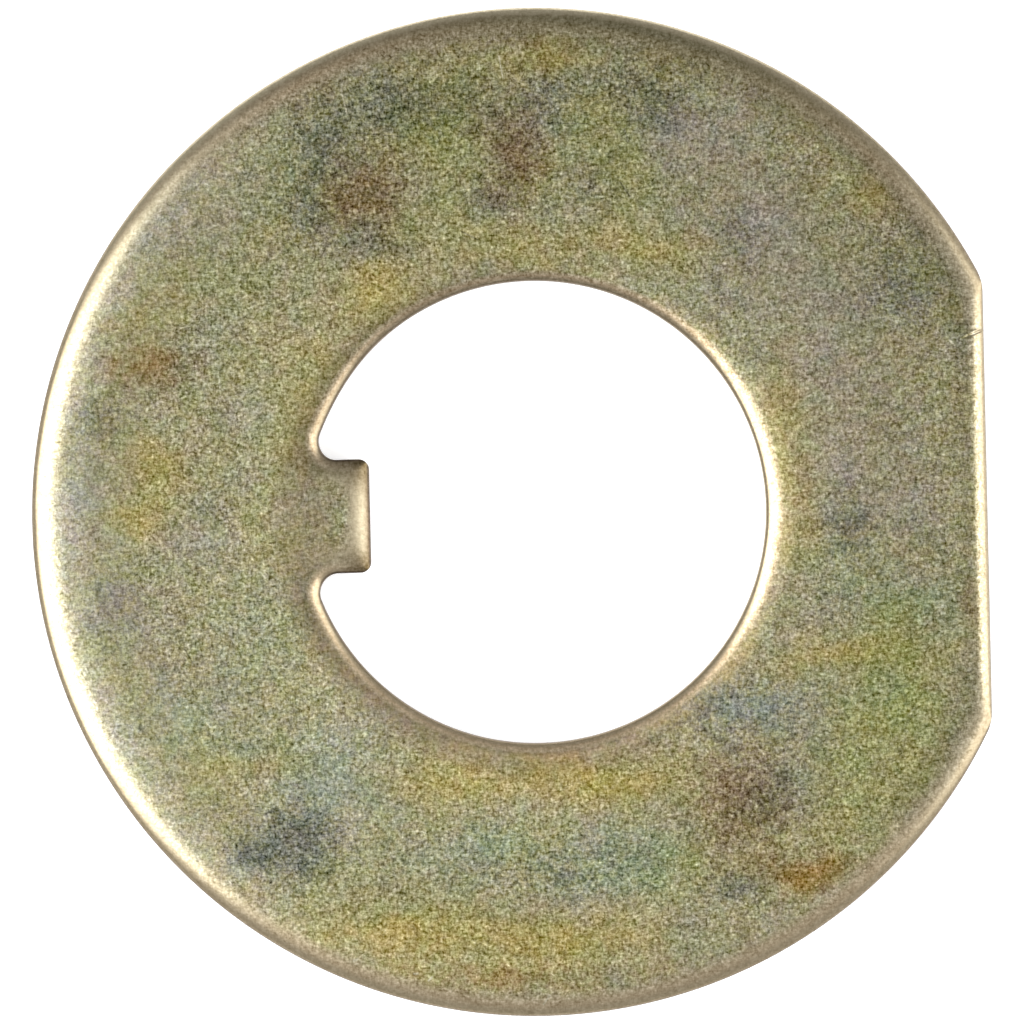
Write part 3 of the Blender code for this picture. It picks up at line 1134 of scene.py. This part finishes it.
def rolled_film(tree, film):
    """The film's colour on the rolled edges: tanner and paler, with painted light in lighter bands
    on the rim, on its crest, on the bore's shoulder and partly on the tongue, and painted shade in
    a dark outermost line, dusky along the back of the rim, and darker at the tongue's outline and
    corners; the bore's roll takes painted light at its front and painted shade at its back."""
    names = ("roll", "tan", "dusk", "crest", "lit", "tongue")
    roll, tan, dusk, crest, lit, tongue = (field(tree, name) for name in names)

    def upon(stretch):
        """How far along a stretch of the roll a place is, from 0 to 1."""
        return remap(tree, roll, *stretch)

    # painted highlight: lighter bands on the rim's roll, on the left and on the right
    right = times(tree, tan, field(tree, "at rim"))
    bands = [(field(tree, "left"), *LEFT_LIGHT_BAND)] + [(right, *band) for band in RIGHT_LIGHT_BANDS]
    for side, low, high, tint in bands:
        film = blend(tree, times(tree, upon((low, high)), side), film, tint, "MULTIPLY")
    bare = blend(tree, field(tree, "front"), upon(BARE_FROM), upon(BARE_FROM_IN_FRONT))
    film = blend(tree, bare, film, srgb(BARE))
    # painted shade: a darker copy of the bare tan film along the back of the rim
    tanned = blend(tree, dusk, srgb(BARE_TAN), srgb(BARE_DUSK_SHADE))
    film = blend(tree, times(tree, bare, tan), film, tanned)
    film = blend(tree, upon(BROW_FROM), film, srgb(BROW))
    # painted shade: a dusky band along the back of the rim
    dusky = calc(tree, "SUBTRACT", upon(DUSK_FROM), upon(DUSK_UNTIL))
    film = blend(tree, times(tree, dusk, dusky), film, srgb(DUSK_SHADE))
    # painted light on the outermost edge at the back of the rim
    film = blend(tree, times(tree, crest, upon(CREST_FROM)), film, srgb(CREST_LIGHT))
    # painted highlight on the bore's roll, strongest on its right front side
    shoulder = calc(tree, "SUBTRACT", upon(SHOULDER_FROM), upon(SHOULDER_UNTIL))
    shoulder = times(tree, shoulder, field(tree, "bore shoulder"))
    film = blend(tree, shoulder, film, SHOULDER_LIGHT_TINT, "MULTIPLY")
    # painted light and shade: the film scaled brighter at the front of the bore's roll and darker
    # at its back
    film = vector(tree, "SCALE", film, field(tree, "lip"))
    # the tongue's roll: partly the film's own tan, partly a painted highlight
    film = blend(tree, times(tree, tongue, upon(TONGUE_FROM)), film, srgb(TONGUE_TAN_AND_SHEEN))
    # painted shade at the tongue's outline
    film = blend(tree, times(tree, tongue, upon(OUTLINE_FROM)), film, srgb(TONGUE_OUTLINE_SHADE))
    # painted shade that darkens the tongue's corners
    corners = times(tree, field(tree, "tip corners"), upon(CORNERS_FROM))
    film = blend(tree, corners, film, srgb(TONGUE_CORNER_SHADE))
    # painted shade: a dark outermost line, weaker on the lit side of the bore and on the crest
    strength = plus(tree, lit, LINE_LIT, plus(tree, crest, LINE_CREST, LINE_STRENGTH))
    line = remap(tree, field(tree, "edge"), *LINE_FADE, 1.0, 0.0)
    return blend(tree, times(tree, line, strength), film, srgb(EDGE_SHADE_LINE))


def grain_amount(tree, roll, tongue):
    """How strong the grain is: weaker where the rolls are smoothed, and calmer on grey stains,
    round the bore and along the left of the rim."""
    on_tongue = times(tree, tongue, remap(tree, roll, *SMOOTH_TONGUE_FROM))
    smoothed = calc(tree, "MAXIMUM", remap(tree, roll, *SMOOTH_FROM), on_tongue)
    calm = 1.0
    for name, share in GRAIN_CALMED:
        calm = plus(tree, field(tree, name), share, calm)
    return times(tree, plus(tree, smoothed, GRAIN_SMOOTHED, GRAIN_AMOUNT), calm)


def chromate_material():
    """Zinc plate under a yellow chromate film, with stains, a crystal grain, marks, and smoother,
    tanner metal on the rolled edges, and with painted light and shade in its colour."""
    material, tree, shader = new_material("stained_chromate")
    place = vector(tree, "SCALE", node(tree, "TexCoord").outputs["Object"], 1 / MM)
    place = vector(tree, "SUBTRACT", place, (BORE_AXIS_X, 0, 0))

    roll, tongue = field(tree, "roll"), field(tree, "tongue")
    film = marked_film(tree, rolled_film(tree, stained_film(tree, place)))
    grain, crystals = crystal_grain(tree, place)
    amount = grain_amount(tree, roll, tongue)
    toned = grouped(tree, grain_group(), {"Colour": film, "Grain": grain, "Amount": amount})

    shiny = remap(tree, roll, *SHINY_FROM)
    smoother = plus(tree, tongue, TONGUE_ROUGHER, ROLL_SMOOTHER)
    relief = times(tree, calc(tree, "SUBTRACT", 1.0, shiny), RELIEF)
    bump = node(tree, "Bump", {"Strength": relief, "Distance": RELIEF_DEPTH, "Height": crystals})
    feed(tree, shader["Base Color"], toned)
    feed(tree, shader["Metallic"], 1.0)
    feed(tree, shader["Roughness"], plus(tree, shiny, smoother, ROUGHNESS))
    feed(tree, shader["Normal"], bump.outputs[0])
    return material


def seen_by(tree, *rays):
    """1 for rays of these kinds, and 0 for others."""
    path = node(tree, "LightPath").outputs
    seen = 0.0
    for ray in rays:
        seen = calc(tree, "MAXIMUM", seen, path[f"Is {ray} Ray"])
    return seen


def make_floor():
    """A plain white floor. It takes the washer's soft shadow and shows white where it is open."""
    bpy.ops.mesh.primitive_plane_add(size=FLOOR_SIZE, location=(0, 0, -FLOOR_DROP))
    floor = bpy.context.object
    floor.name = "floor"
    material, tree, shader = new_material("white_floor")
    feed(tree, shader["Base Color"], FLOOR_WHITE)
    feed(tree, shader["Roughness"], FLOOR_ROUGHNESS)
    feed(tree, shader["Specular IOR Level"], 0.0)
    feed(tree, shader["Emission Color"], WHITE)
    shown = seen_by(tree, "Camera", "Glossy", "Transmission")
    feed(tree, shader["Emission Strength"], times(tree, shown, FLOOR_GLOW))
    floor.data.materials.append(material)


def lamp(name, place, size, watts):
    """A soft rectangular lamp that looks at the washer."""
    data = bpy.data.lights.new(name, "AREA")
    data.shape = "RECTANGLE"
    data.size, data.size_y = size
    data.energy = watts
    made = bpy.data.objects.new(name, data)
    made.location = place
    away = -made.location
    made.rotation_euler = away.to_track_quat("-Z", "Y").to_euler()
    bpy.context.scene.collection.objects.link(made)


def light_scene():
    """Soft boxes on the left and right of a pale room, which is brighter at its sides and front
    than at its back. The camera sees the room as plain white."""
    for settings in LAMPS:
        lamp(*settings)
    world = bpy.data.worlds.new("studio")
    bpy.context.scene.world = world
    world.use_nodes = True
    tree = world.node_tree
    way = node(tree, "SeparateXYZ", {0: node(tree, "TexCoord").outputs["Generated"]}).outputs
    sides = times(tree, way["X"], way["X"])
    by_height = plus(tree, way["Z"], ROOM_FRONT_BY_HEIGHT, ROOM_FRONT)
    front = times(tree, calc(tree, "MINIMUM", way["Y"], 0.0), by_height)
    room = plus(tree, sides, ROOM_SIDES, calc(tree, "ADD", front, ROOM_LEVEL))
    white = seen_by(tree, "Camera", "Transmission")
    level = plus(tree, calc(tree, "SUBTRACT", 1.0, room), white, room)
    back = tree.nodes["Background"].inputs
    feed(tree, back["Color"], WHITE)
    feed(tree, back["Strength"], level)


def make_camera():
    """Straight above the washer and turned a little, as the photo shows it."""
    data = bpy.data.cameras.new("camera")
    data.lens = CAMERA_LENS
    data.sensor_width = CAMERA_SENSOR
    data.clip_start = CAMERA_CLIP
    made = bpy.data.objects.new("camera", data)
    made.location = CAMERA_PLACE
    made.rotation_euler = (0, 0, CAMERA_TURN)
    bpy.context.scene.collection.objects.link(made)
    bpy.context.scene.camera = made


def corners(box):
    """A box's corners as plain lists of numbers."""
    return [list(map(float, corner)) for corner in box]


def main():
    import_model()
    washer = make_washer()
    washer.data.materials.append(chromate_material())
    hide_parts("washer")
    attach(washer, "root")
    make_floor()
    light_scene()
    make_camera()
    bpy.context.scene.view_settings.view_transform = "Standard"


main()
